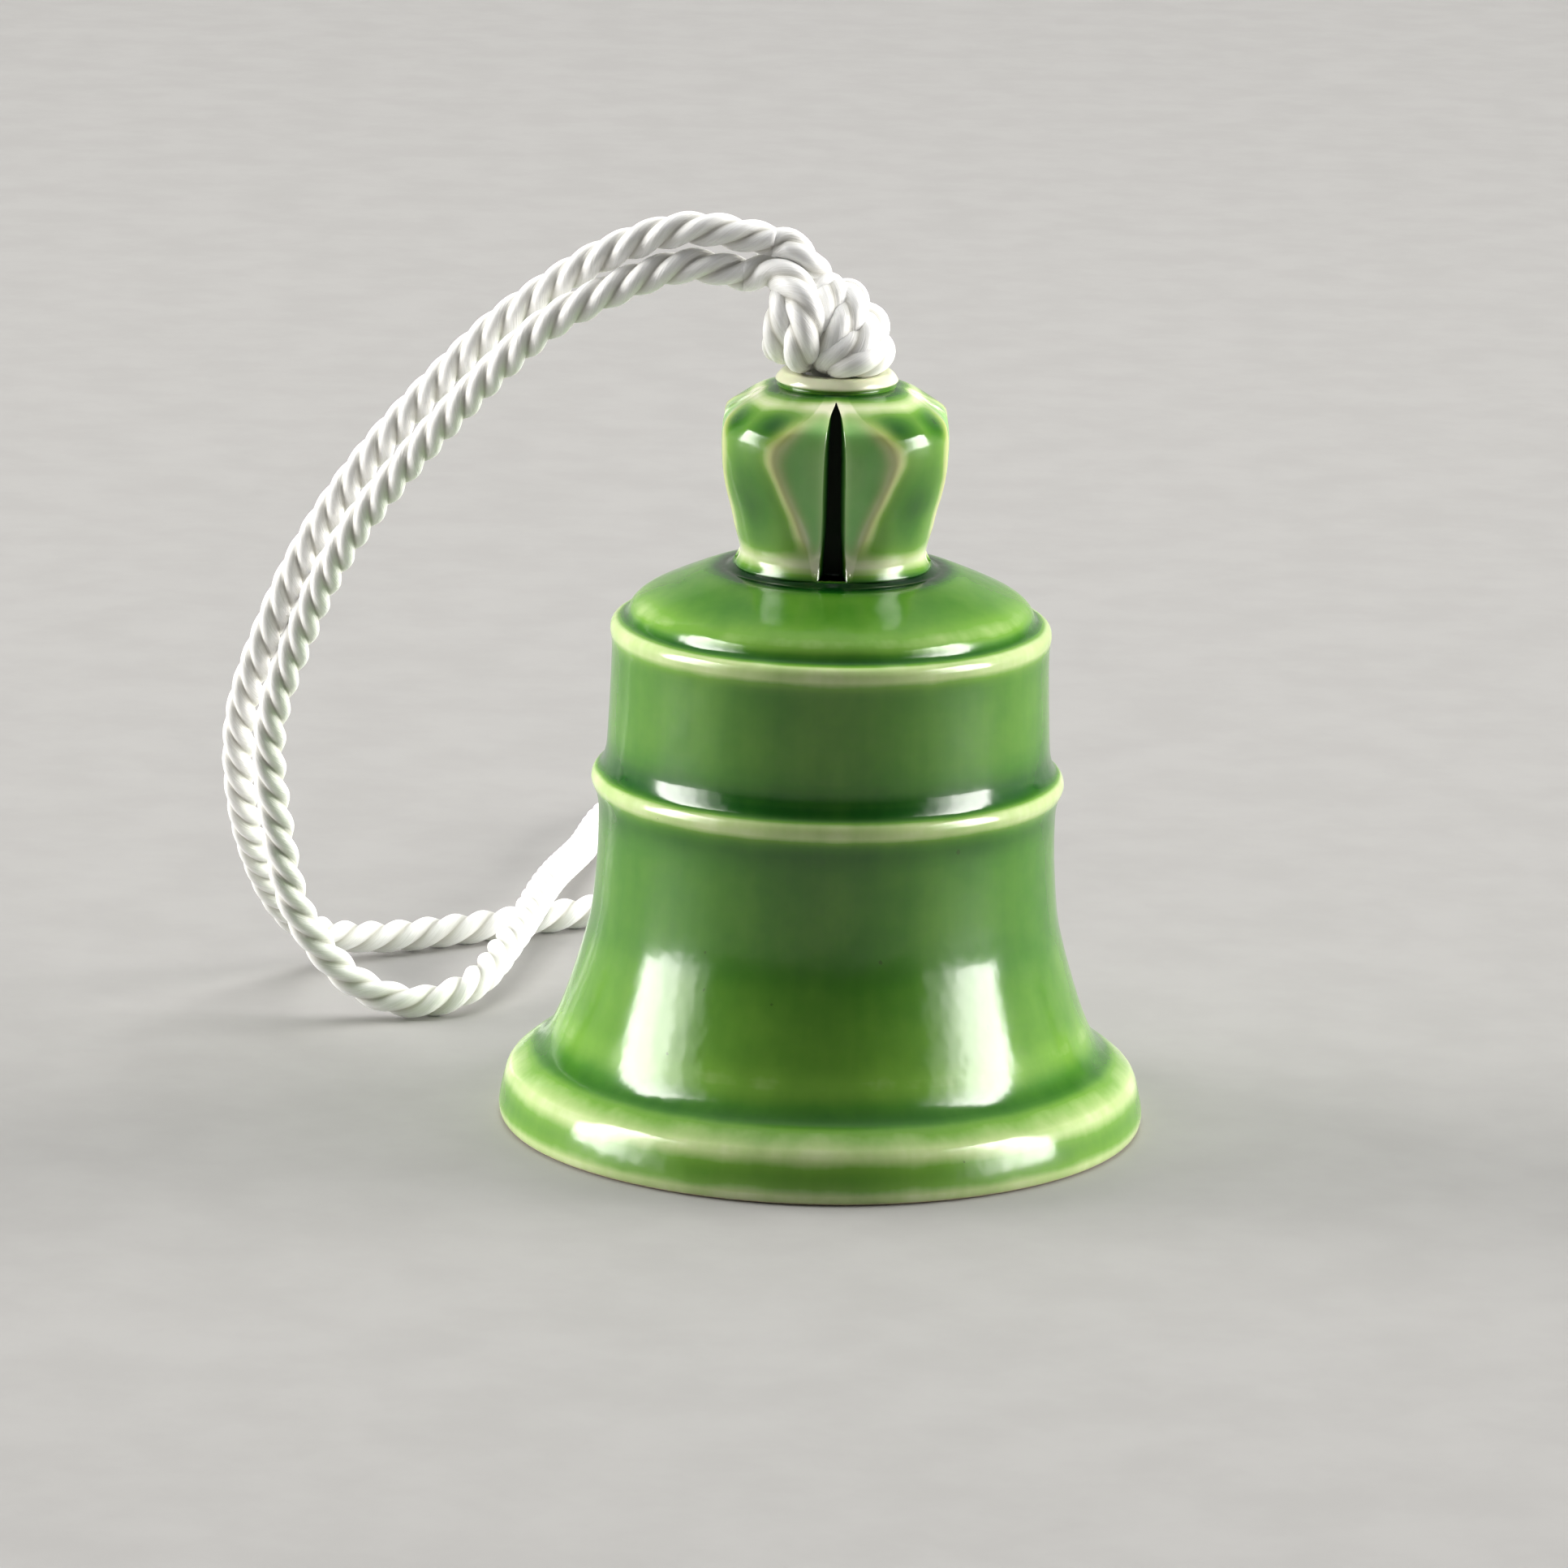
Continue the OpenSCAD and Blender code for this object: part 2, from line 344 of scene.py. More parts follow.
def smooth_curve(points, steps):
    """Points on the smooth curve through the given ones, steps to each stretch."""
    points = np.asarray(points, float)
    padded = np.vstack([2 * points[0] - points[1], points, 2 * points[-1] - points[-2]])
    made = []
    for k in range(1, len(padded) - 2):
        a, b, c, d = padded[k - 1:k + 3]
        for t in np.arange(steps) / steps:
            made.append(0.5 * (
                2 * b + (c - a) * t + (2 * a - 5 * b + 4 * c - d) * t ** 2
                + (3 * b - a - 3 * c + d) * t ** 3
            ))
    made.append(points[-1])
    return np.array(made)


def distances_along(points):
    """How far along the line each of its points lies."""
    steps = np.linalg.norm(np.diff(points, axis=0), axis=1)
    return np.concatenate([[0], np.cumsum(steps)])


def hill(value, middle, spread):
    """1 where value is at middle, falling off smoothly to both sides."""
    return np.exp(-((value - middle) / spread) ** 2)


def even_curve(points, spacing):
    """The smooth curve through the points, again as points an even spacing apart."""
    dense = smooth_curve(points, 24)
    along = distances_along(dense)
    count = max(2, int(round(along[-1] / spacing)) + 1)
    wanted = np.linspace(0, along[-1], count)
    return np.stack([np.interp(wanted, along, dense[:, i]) for i in range(3)], axis=1)


def directions(points):
    """The unit direction of the line at each point."""
    step = np.gradient(points, axis=0)
    return step / np.linalg.norm(step, axis=1)[:, None]


def carried_normals(points):
    """A sideways direction at each point, turned as little as possible along the curve."""
    heading = directions(points)
    side = np.cross(heading[0], (0.3, 1, 0.2))
    sides = []
    for h in heading:
        side = side - h * side.dot(h)
        side = side / np.linalg.norm(side)
        sides.append(side)
    return heading, np.array(sides)


# ---------------------------------------------------------------- twisted cord

CORD_R = 1.6 * MM         # a little fuller than the CAD, so that the two strands nearly touch
LAY = 9.4 * MM            # length of one full turn of the three strands
CORD_STEP = 0.42 * MM     # distance from one ring of the cord to the next
STRANDS = 3
STRAND_R = 0.58           # a strand's radius, as a share of the cord's
KNOT_STRAND_R = 0.7       # the same where the cord is pressed in the knot
KNOT_SWELL = 1.07         # how much fuller the cord is there
KNOT_BLEND = 4 * MM       # length over which it fills out
LOBE_POINTS = 10          # points across one strand
TIP = 0.12                # where a rounded end starts, as a share of the cord's radius


def cord_section(strand_r):
    """The cord's outline across: three touching strands, as x, y and how deep in a groove."""
    cos60 = 0.5
    sin60 = math.sqrt(3) / 2
    offset = 1 - strand_r
    groove = offset * cos60 + math.sqrt(strand_r ** 2 - (offset * sin60) ** 2)
    widest = math.atan2(groove * sin60, groove * cos60 - offset)
    points = []
    for strand in range(STRANDS):
        middle = 2 * math.pi * strand / STRANDS
        for k in range(LOBE_POINTS):
            turn = middle + widest * (2 * k / LOBE_POINTS - 1)
            x = offset * math.cos(middle) + strand_r * math.cos(turn)
            y = offset * math.sin(middle) + strand_r * math.sin(turn)
            sunk = (1 - math.hypot(x, y)) / (1 - groove)
            points.append((x, y, sunk ** 1.5))
    return np.array(points)


def cord_faces(rings, sides):
    """Faces between the rings, and a flat one at each end."""
    faces = []
    for k in range(rings - 1):
        for s in range(sides):
            a, b = k * sides + s, k * sides + (s + 1) % sides
            faces.append((a, b, b + sides, a + sides))
    faces.append(tuple(reversed(range(sides))))
    faces.append(tuple((rings - 1) * sides + s for s in range(sides)))
    return faces


def twisted_cord(name, line, material, keep=None, radius=CORD_R, rounded=False, fill_from=None):
    """A three-strand cord round a centre line; keep is the part of the line to make, and
    fill_from the point from which the cord fills out into the knot."""
    heading, side = carried_normals(line)
    other = np.cross(heading, side)
    along = distances_along(line)
    first, last = keep if keep else (0, len(line))
    plain, pressed = cord_section(STRAND_R), cord_section(KNOT_STRAND_R)
    sides = len(plain)
    vertices, uvs = [], []
    for k in range(first, last):
        turn = -2 * math.pi * along[k] / LAY
        away = 0.0 if fill_from is None else abs(along[k] - along[fill_from])
        fill = min(1.0, away / KNOT_BLEND)
        section = plain + (pressed - plain) * fill
        size = radius * (1 + (KNOT_SWELL - 1) * fill)
        if rounded:
            edge = min(along[k] - along[first], along[last - 1] - along[k]) + TIP * radius
            size = radius * math.sqrt(max(0.0, 1 - max(0.0, 1 - edge / radius) ** 2))
        x = section[:, 0] * math.cos(turn) - section[:, 1] * math.sin(turn)
        y = section[:, 0] * math.sin(turn) + section[:, 1] * math.cos(turn)
        vertices.append(line[k] + size * (x[:, None] * side[k] + y[:, None] * other[k]))
        uvs += [(s / LOBE_POINTS, along[k] / (4 * STRAND_R * CORD_R)) for s in range(sides)]
    rings = last - first
    obj = add_object(name, np.vstack(vertices), cord_faces(rings, sides), material)
    for end_face in obj.data.polygons[-2:]:
        end_face.use_smooth = False
    # how deep each point lies between strands, which the material darkens as painted shade
    add_attribute(obj, "valley", np.tile(plain[:, 2], rings))
    layer = obj.data.uv_layers.new(name="strand")
    for loop in obj.data.loops:
        layer.data[loop.index].uv = uvs[loop.vertex_index]
    return obj


# The loop's route, as in the part's source, in millimetres.
LOOP_ROUTE = np.array([
    (-1.5, 0, 79), (-6, 0, 81.5), (-13.5, 0, 82.5), (-20.5, 1.5, 80), (-27.5, 4.5, 75),
    (-33, 7, 70), (-41.5, 12, 60), (-48, 17, 50), (-52.5, 21, 40), (-55.5, 26, 30),
    (-55.5, 31, 20), (-53.5, 40, 10), (-50, 47, 4), (-44.5, 52, 2), (-36.5, 57, 1.6),
    (-28, 62.5, 1.6), (-21, 67, 1.6), (-5, 75, 1.6), (8, 90, 1.6), (9, 106, 1.6),
    (0, 116, 1.6), (-13, 116, 1.6), (-22, 106, 2), (-25, 85, 3), (-27.5, 64, 5),
    (-30, 46, 4.5), (-33.5, 34, 2.5), (-39, 30, 1.6), (-45, 29, 4), (-50, 27, 11),
    (-52, 25.5, 20), (-52.5, 22.5, 30), (-49.5, 19, 40), (-45, 14, 50), (-38, 9, 60),
    (-29.5, 3.5, 70), (-23.5, 1, 75), (-14.5, 0, 79), (-8.5, 0, 78.5), (-4, 0, 76),
]) * MM


# ---------------------------------------------------------------- the top knot

RIM_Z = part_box("crown")[1][2]
STRAND_X = (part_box("right_strand")[0][0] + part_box("right_strand")[1][0]) / 2

# The wraps of the knot from its upper left to its lower right. Each is a turn between a
# point on its upper right side and one on its lower left: x and height above the rim,
# then how far it bulges to the front and to the back. Millimetres.
WRAPS = [
    ((-0.9, 7.3), (-4.0, 3.7), 2.0, 2.6),
    ((1.1, 6.4), (-2.9, 2.4), 2.5, 2.9),
    ((3.0, 4.2), (-1.9, 1.8), 3.4, 3.0),
    ((3.6, 1.8), (-1.0, 1.55), 3.9, 3.0),
]

WRAPPED = 600             # degrees that a strand goes round after its band
WRAP_STEP = 40

# The front band: where each strand comes over from the loop, down and under to the back,
# as x, y and height above the rim, in millimetres.
BAND_OUTER = [
    (-4.1, -0.4, 10.9), (-2.9, -0.6, 9.5), (-1.9, 0.4, 8.0), (-1.9, 2.3, 6.2),
    (-3.4, 3.3, 4.2), (-4.7, 2.0, 2.4), (-5.1, 0.0, 2.0), (-5.1, -1.9, 3.2),
    (-4.9, -2.5, 5.4), (-4.3, -1.7, 7.2), (-2.6, -0.6, 8.0),
]
BAND_INNER = [
    (-6.0, -0.8, 9.0), (-4.3, -2.2, 8.3), (-3.2, -3.4, 6.8), (-2.9, -4.0, 4.8),
    (-3.3, -3.5, 2.4), (-3.3, -1.4, 1.6), (-2.6, 1.0, 1.8), (-1.2, 3.4, 3.6),
    (0.4, 2.8, 6.0),
]


def wrap_point(place, turn):
    """A point on the wraps: place counts the wraps from 0, turn is in degrees from the
    upper right side over the front."""
    low = min(int(place), len(WRAPS) - 2)
    share = place - low
    first, second = WRAPS[low], WRAPS[low + 1]
    right = [a + (b - a) * share for a, b in zip(first[0], second[0])]
    left = [a + (b - a) * share for a, b in zip(first[1], second[1])]
    front = first[2] + (second[2] - first[2]) * share
    back = first[3] + (second[3] - first[3]) * share
    c, s = math.cos(math.radians(turn)), math.sin(math.radians(turn))
    x, z = [(a + b) / 2 + c * (a - b) / 2 for a, b in zip(right, left)]
    return x, -s * (front if s > 0 else back), z


def knot_strand(band, start, side):
    """One strand from the loop through the knot: its band, two wraps, then down the hole."""
    points = list(band)
    for turn in range(0, WRAPPED, WRAP_STEP):
        points.append(wrap_point(min(start + 2 * turn / 360, 3), turn))
    points += [(side * 1.9, 1.6, 3.0), (side * STRAND_X / MM, 0.4, 1.4)]
    points += [(side * STRAND_X / MM, 0, 0.2), (side * STRAND_X / MM, 0, -1)]
    return np.array([(x * MM, y * MM, RIM_Z + z * MM) for x, y, z in points])


def make_cord(material):
    """The whole cord as one centre line, cut where it enters and leaves the knot."""
    outer = knot_strand(BAND_OUTER, 0, -1)[::-1]
    inner = knot_strand(BAND_INNER, 1, 1)
    loop = LOOP_ROUTE[1:-1]
    line = even_curve(np.vstack([outer, loop, inner]), CORD_STEP)
    start = int(np.argmin(np.linalg.norm(line - loop[0], axis=1)))
    end = int(np.argmin(np.linalg.norm(line - loop[-1], axis=1)))
    loop_obj = twisted_cord("hanging_loop_cord", line, material, (start, end + 1))
    near = twisted_cord("knot_near", line, material, (0, start + 1), fill_from=start)
    far = twisted_cord("knot_far", line, material, (end, len(line)), fill_from=end)
    return loop_obj, line[start:end + 1], join("top_knot_cord", [near, far])


# ---------------------------------------------------------------- the hidden cords

SHY = 0.25 * MM           # how far a knot's wraps keep below its top
WRAP_POINTS = 8           # points to one wrap


def straight_line(start, end):
    """Points a cord's step apart from start to end."""
    start, end = np.array(start, float), np.array(end, float)
    count = max(3, int(np.linalg.norm(end - start) / CORD_STEP) + 1)
    return start + np.linspace(0, 1, count)[:, None] * (end - start)


def upright_cord(node_name, material, rounded=False):
    """A cord up the middle of a CAD node's box."""
    low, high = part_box(node_name)
    x, y = (low[0] + high[0]) / 2, (low[1] + high[1]) / 2
    line = straight_line((x, y, low[2]), (x, y, high[2]))
    return twisted_cord(node_name + "_cord", line, material, rounded=rounded)


def axis_knot(node_name, turns, material):
    """A knot round an upright cord: close wraps down from its top to its foot."""
    low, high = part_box(node_name)
    middle = (low[2] + high[2]) / 2
    reach = (high[0] - low[0]) / 2 - CORD_R
    rise = high[2] - low[2] - 2 * CORD_R - SHY
    points = [(0.3 * MM, 0, high[2] - 0.4 * MM)]
    steps = int(turns * WRAP_POINTS)
    for k in range(steps + 1):
        angle = 2 * math.pi * k / WRAP_POINTS
        z = high[2] - CORD_R - SHY - rise * k / steps
        swell = reach * (1 - 0.12 * abs(z - middle) / (rise / 2 + MM))
        points.append((swell * math.cos(angle), swell * math.sin(angle), z))
    points.append((0.3 * MM, 0, low[2] + 0.4 * MM))
    line = even_curve(points, CORD_STEP)
    wraps = twisted_cord(node_name + "_wraps", line, material, rounded=True)
    core = twisted_cord(
        node_name + "_core",
        straight_line((0, 0, low[2] + 0.05 * MM), (0, 0, high[2] - 0.05 * MM)),
        material,
    )
    return join(node_name + "_cord", [wraps, core])


def tail_cord(material):
    """The trimmed end: it leans out of the stopper knot, thinner, with a rounded cut."""
    low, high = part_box("cord_tail")
    thin = (high[0] - low[0]) / 2
    top = (0, low[1] + thin * 0.4, high[2] - thin)
    foot = (0, high[1] - thin * 0.84, low[2] + thin * 0.6)
    return twisted_cord("cord_tail_cord", straight_line(top, foot), material, None, thin, True)


# ---------------------------------------------------------------- bell

AROUND = 256              # points round the bell
WAIST_R = 20.0            # millimetres, as in the part's source
BODY_R = 20.9             # narrowest part of the skirt
FOOT_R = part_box("bell_body")[1][0] / MM
SEAT_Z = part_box("bell_body")[1][2] / MM
HOLE_R = 3.7
BODY_GLAZE = 0.44         # how deep the glaze lies on plain stretches, from 0 to 1
INSIDE_GLAZE = 0.42
BARE_BELOW = 0.3          # the foot's ring is bare clay below this height

# Outer outline from the foot to the crown's seat: radius and height in millimetres.
OUTSIDE = [
    (FOOT_R - 0.9, 0.0), (FOOT_R - 0.45, 0.08), (FOOT_R - 0.15, 0.35), (FOOT_R - 0.02, 0.9),
    (FOOT_R - 0.05, 1.5), (FOOT_R - 0.25, 2.6), (FOOT_R - 0.6, 4), (FOOT_R - 0.95, 4.7),
    (FOOT_R - 1.5, 5.25), (FOOT_R - 2.5, 6.05), (FOOT_R - 3.65, 6.8), (BODY_R + 4, 8.2),
    (BODY_R + 3, 10.5), (BODY_R + 2, 13.5), (BODY_R + 1, 17), (BODY_R + 0.4, 20),
    (BODY_R, 25), (BODY_R - 0.03, 29), (BODY_R + 0.2, 30.6), (BODY_R + 0.5, 31.3),
    (BODY_R + 0.68, 31.9), (BODY_R + 0.58, 32.45), (BODY_R + 0.3, 32.85),
    (WAIST_R + 0.85, 33.1), (WAIST_R + 0.6, 33.5), (WAIST_R + 0.38, 34.2),
    (WAIST_R + 0.2, 35.4), (WAIST_R, 40), (WAIST_R - 0.1, 44), (WAIST_R - 0.02, 45),
    (WAIST_R + 0.08, 45.7), (WAIST_R + 0.02, 46.25), (WAIST_R - 0.25, 46.65),
    (WAIST_R - 0.75, 46.85), (WAIST_R - 1.15, 47), (WAIST_R - 1.45, 47.35),
    (WAIST_R - 1.95, 48.25), (WAIST_R - 3.2, 49.2), (14, SEAT_Z - 1.7),
    (11.6, SEAT_Z - 0.75), (10.3, SEAT_Z - 0.5), (9.7, SEAT_Z - 0.45), (9.3, SEAT_Z - 0.2),
    (9.0, SEAT_Z), (8.4, SEAT_Z),
]
# Inner outline from the ceiling's hole down to the foot.
INSIDE = [
    (HOLE_R, 51.9), (HOLE_R, 50), (3.8, 48.8), (4.3, 48.45), (6, 48.4), (9, 48.1), (11.5, 47.6),
    (13.8, 46.9), (15.6, 45.6), (16.6, 44), (16.9, 41), (17.3, 36), (17.8, 32),
    (17.9, 25.8), (18.4, 20), (19.3, 16), (20.6, 12), (21.9, 8.6), (23.1, 6),
    (24.5, 3), (25.2, 1.2), (25.5, 0.3), (25.9, 0.0),
]


def glaze_depth(radii, heights, reach):
    """How deep the glaze lies on an outline: shallow on its crests, deep in its hollows."""
    along = distances_along(np.column_stack([radii, heights]))
    spread = np.exp(-0.5 * ((along[:, None] - along[None]) / reach) ** 2)
    spread = spread * np.gradient(along)[None]
    spread /= spread.sum(axis=1)[:, None]
    mean_r, mean_h = spread @ radii, spread @ heights
    tangent_r, tangent_h = np.gradient(radii), np.gradient(heights)
    size = np.hypot(tangent_r, tangent_h)
    normal_r, normal_h = tangent_h / size, -tangent_r / size
    return (mean_r - radii) * normal_r + (mean_h - heights) * normal_h


def closed_rings(rings):
    """Faces between rings of vertices, each ring joined to the next and the last to the first."""
    count, around = len(rings), len(rings[0])
    faces = []
    for k in range(count):
        for s in range(around):
            a, b = k * around + s, k * around + (s + 1) % around
            c, d = (k + 1) % count * around + (s + 1) % around, (k + 1) % count * around + s
            faces.append((a, b, c, d))
    return np.vstack(rings), faces


def turned(outline, around=AROUND):
    """An outline turned round the Z axis, as rings of vertices."""
    turn = 2 * math.pi * np.arange(around) / around
    ring = np.stack([np.cos(turn), np.sin(turn)], axis=1)
    return [np.column_stack([ring * r, np.full(around, z)]) for r, z in outline]


def bell_glaze(radii, heights):
    """Glaze depth up the outside: thin on crests, thick in grooves, darker on the foot's face and
    the dome, with painted light on the lower skirt and just above the foot.
    """
    fine = glaze_depth(radii, heights, 1.3)
    broad = glaze_depth(radii, heights, 3.2)
    depth = BODY_GLAZE + 0.95 * fine + 0.6 * np.maximum(fine, 0) + 0.12 * broad
    depth += 0.15 * hill(heights, 2.4, 1.8)                 # the foot's face
    depth += 0.03 * hill(heights, 4.9, 0.7)                 # the foot's crest
    depth -= 0.18 * hill(heights, 9, 1.8)                   # painted light: lighter just above the foot, where the flare faces up
    depth -= 0.08 * np.clip((22 - heights) / 10, 0, 1)      # painted light: lighter down the lower skirt, as it turns to face up
    depth += 0.07 * np.clip((heights - 47) / 2, 0, 1)       # the dome
    round_crown = hill(radii, 9.9, 1.2) * (heights > SEAT_Z - 1.5)
    return np.clip(depth + 0.42 * round_crown, 0.14, 0.9)


def make_bell(material):
    """The hollow shell, turned round the axis in one closed outline."""
    outer = smooth_curve(OUTSIDE, 4)
    inner = smooth_curve(INSIDE, 4)
    outline = np.vstack([outer, inner])
    vertices, faces = closed_rings(turned(outline * MM))
    obj = add_object("bell_shell", vertices, faces, material)
    depth = np.concatenate([bell_glaze(*outer.T), np.full(len(inner), INSIDE_GLAZE)])
    bare = np.clip((BARE_BELOW - outline[:, 1]) / 0.2, 0, 1)
    add_attribute(obj, "glaze", np.repeat(depth, AROUND))
    add_attribute(obj, "bare", np.repeat(bare, AROUND))
    return obj


# ---------------------------------------------------------------- crown

# Half-width of the crown's slotted faces and radius of its corners, against height
# above its seat; then half-widths of a slot and of the raised leaf round it.
FACE_HALF = [
    (0, 9.1), (1.1, 8.6), (2.3, 8.7), (3.7, 9), (5.5, 9.4), (7.3, 9.8), (9, 10.1),
    (11.5, 10.2), (13.3, 10), (14.1, 9.5), (14.9, 8.3), (15.9, 6.6), (16.4, 5.6),
]
CORNER_R = [
    (0, 9.2), (1.1, 8.7), (2.3, 9), (5.3, 9.8), (7.6, 10.7), (10, 11.4), (12, 11.6),
    (13.7, 11.2), (15.1, 9.3), (15.9, 7.6), (16.4, 5.6),
]
SLOT_HALF = [
    (0, 1.35), (3, 1.15), (6, 1.05), (9.5, 1.02), (12, 0.95), (13.6, 0.8), (14.8, 0.55),
    (15.5, 0.25), (15.9, 0.05), (16.4, 0.02),
]
LEAF_HALF = [
    (0, 1.9), (3, 2.5), (6, 3.6), (8.5, 4.7), (10, 5.3), (11.2, 5.6), (12.6, 5.1),
    (14, 3.7), (15, 2.3), (15.8, 1.5), (16.4, 1.1),
]
SLOT_PEAK = 15.8          # height of a slot's point above the seat
SLOT_FLOOR_R = 5.3        # how close to the axis a slot reaches
BODY_ROWS = 110
SLOT_SHARES = (0.0, 0.6, 0.98)
LIP_OFFSETS = (0.02, 0.08, 0.22)
RIDGE_OFFSETS = (-0.36, -0.18, 0, 0.2, 0.4)
LEAF_POINTS = 12
CORNER_POINTS = 16
CORNER_SHARPNESS = 2.5    # how sharply a face turns into its corner
RIM_BASE = 16.55          # height of the groove under the rim above the seat

# The rim and the cord's channel: radius and height above the seat, from the shoulder up
# over the rim, down inside, and out under the crown.
RIM_OUTLINE = [
    (5.45, 16.45), (5.3, 16.55), (5.35, 16.7), (5.55, 16.85), (5.5, 17.05), (5.3, 17.35),
    (5.05, 17.6), (4.85, 17.7), (4.4, 17.7), (4.0, 17.65), (3.78, 17.5), (3.7, 17.2),
    (3.7, 12), (3.7, 6), (3.7, 0.3), (3.8, 0.05), (4.2, 0.0), (6, 0.0), (8, 0.0),
]


def curve_at(points, heights):
    """A smooth value at each height, through the given (height, value) points."""
    line = smooth_curve(points, 12)
    return np.interp(heights, line[:, 0], line[:, 1])


def crown_columns(face, slot, leaf):
    """Distances across half a face, from the middle of its slot to the crown's corner."""
    inside = [slot * share for share in SLOT_SHARES]
    lip = [slot + offset for offset in LIP_OFFSETS]
    start = slot + 0.3
    step = (leaf - 0.45 - start) / LEAF_POINTS
    field = [start + step * k for k in range(1, LEAF_POINTS)]
    ridge = [leaf + offset for offset in RIDGE_OFFSETS]
    start = leaf + 0.5
    edge = [start + (face - start) * k / CORNER_POINTS for k in range(CORNER_POINTS + 1)]
    return inside + lip + field + ridge + edge


def ridge_spread(height):
    """How wide a leaf's ridge spreads: wider towards the top."""
    return 0.6 + 0.5 * np.clip((height - 9) / 4, 0, 1)


def crown_marks(across, angle, height, leaf):
    """How strongly each mark of a face shows at a place on it, from 0 to 1."""
    on_leaf = np.clip((height - 2) / 2, 0, 1) * np.clip((15.2 - height) / 1.5, 0, 1)
    ridge = hill(across, leaf, ridge_spread(height)) * on_leaf
    valley = hill(angle, math.pi / 4, 0.24) * hill(height, 6.8, 3.6)
    oval = hill(angle, 0.56, 0.17) * hill(height, 14.1, 1.0)
    return on_leaf, ridge, valley, oval


def crown_radius(across, angle, face, corner, slot, leaf, marks):
    """A flat face blended into its corner, with a raised ridge round a hollow leaf."""
    on_leaf, ridge, valley, oval = marks
    flat = face / math.cos(angle)
    blend = math.exp(-flat * CORNER_SHARPNESS) + math.exp(-corner * CORNER_SHARPNESS)
    radius = -math.log(blend) / CORNER_SHARPNESS + 0.1 + 0.13 * ridge
    if across < leaf:
        hollow = (across - slot) * (leaf - across) / max(0.2, (leaf - slot) / 2) ** 2
        radius -= 0.16 * max(0.0, hollow) * on_leaf
    return radius - 0.2 * valley - 0.25 * oval


def crown_glaze(across, height, slot, leaf, marks):
    """Depth of the glaze and its tint: thin and tan on the ridge, with a painted blue-green sheen
    inside the leaf.
    """
    on_leaf, ridge, valley, oval = marks
    pale = hill(across, leaf, ridge_spread(height) + 0.25) * on_leaf
    depth = 0.33 + 0.26 * valley + 0.34 * oval - 0.29 * pale
    sheen_and_tan = -0.6 * ridge
    if across < leaf:
        share = (across - slot) / max(0.2, leaf - slot)
        depth += 0.1 * share ** 2 * on_leaf - 0.08
        # painted sheen: the windows' blue-green reflection inside the leaf, strongest by the slot
        sheen_and_tan += 0.55 * math.sin(math.pi * np.clip(share, 0, 1)) * on_leaf
        sheen_and_tan += 0.4 * hill(across, slot, 0.8) * on_leaf
    depth -= 0.1 * hill(across, slot, 0.4)                          # the slot's edge
    depth -= 0.25 * hill(height, 15.6, 0.5) * (1 - 0.5 * oval)      # the shoulder
    depth -= 0.28 * hill(height, 1.5, 0.9)                          # the flare at the foot
    depth += 0.35 * hill(height, -0.1, 0.4)                         # pooled on the bell
    depth += 0.5 * hill(height, 16.4, 0.3)                          # pooled under the rim
    return depth, sheen_and_tan


def crown_row(height, face, corner, slot, leaf):
    """Radius, angle and glaze along half a face at one height."""
    radii, angles, glazes = [], [], []
    columns = crown_columns(face, slot, leaf)
    for k, across in enumerate(columns):
        angle = math.atan2(across, face) if k < len(columns) - 1 else math.pi / 4
        angles.append(angle)
        # a slot's floor takes the top of the scale: painted shadow, grey and dull
        if across <= slot and height < SLOT_PEAK:
            radii.append(SLOT_FLOOR_R)
            glazes.append((1.0, 0.0))
            continue
        marks = crown_marks(across, angle, height, leaf)
        radii.append(crown_radius(across, angle, face, corner, slot, leaf, marks))
        glazes.append(crown_glaze(across, height, slot, leaf, marks))
    return radii, angles, glazes


def whole_ring(radii, angles, glazes, height):
    """Half a face mirrored and turned into a full ring of the crown."""
    around, glaze = [], []
    for quarter in range(4):
        middle = -math.pi / 2 + quarter * math.pi / 2
        for sign, order in ((-1, range(len(radii) - 1, 0, -1)), (1, range(len(radii) - 1))):
            for k in order:
                turn = middle + sign * angles[k]
                around.append((radii[k] * math.cos(turn), radii[k] * math.sin(turn), height))
                glaze.append(glazes[k])
    return np.array(around), glaze


def make_crown(material):
    """Four slotted faces, then the rim and the cord's channel, in one closed mesh."""
    heights = np.linspace(0, 16.4, BODY_ROWS)
    face, corner = curve_at(FACE_HALF, heights), curve_at(CORNER_R, heights)
    slot, leaf = curve_at(SLOT_HALF, heights), curve_at(LEAF_HALF, heights)
    rings, glazes = [], []
    for k, height in enumerate(heights):
        row = crown_row(height, face[k], corner[k], slot[k], leaf[k])
        ring, glaze = whole_ring(*row, height)
        rings.append(ring)
        glazes += glaze
    angles = row[1]
    for radius, height in smooth_curve(RIM_OUTLINE, 2):
        in_groove = hill(height, RIM_BASE, 0.2) if radius > 4.5 else 0
        shade = (0.5 * in_groove if height > 16 else 0.4, 0.0)
        ring, glaze = whole_ring([radius] * len(angles), angles, [shade] * len(angles), height)
        rings.append(ring)
        glazes += glaze
    vertices, faces = closed_rings(rings)
    vertices = vertices * MM + np.array((0, 0, SEAT_Z * MM))
    obj = add_object("crown_ceramic", vertices, faces, material)
    depth, sheen_and_tan = np.array(glazes).T
    add_attribute(obj, "glaze", np.clip(depth, 0, 1))
    # tan on the ridges, and painted sheen inside the leaves
    add_attribute(obj, "sheen_and_tan", sheen_and_tan)
    add_attribute(obj, "bare", np.zeros(len(depth)))
    return obj


# ---------------------------------------------------------------- clapper ball

BALL_AROUND = 96
BALL_STEPS = 48           # steps down the ball's outside
BORE_R = 1.9 * MM
PALE_WITHIN = 2.6 * MM    # the glaze is thin closer to the axis than this


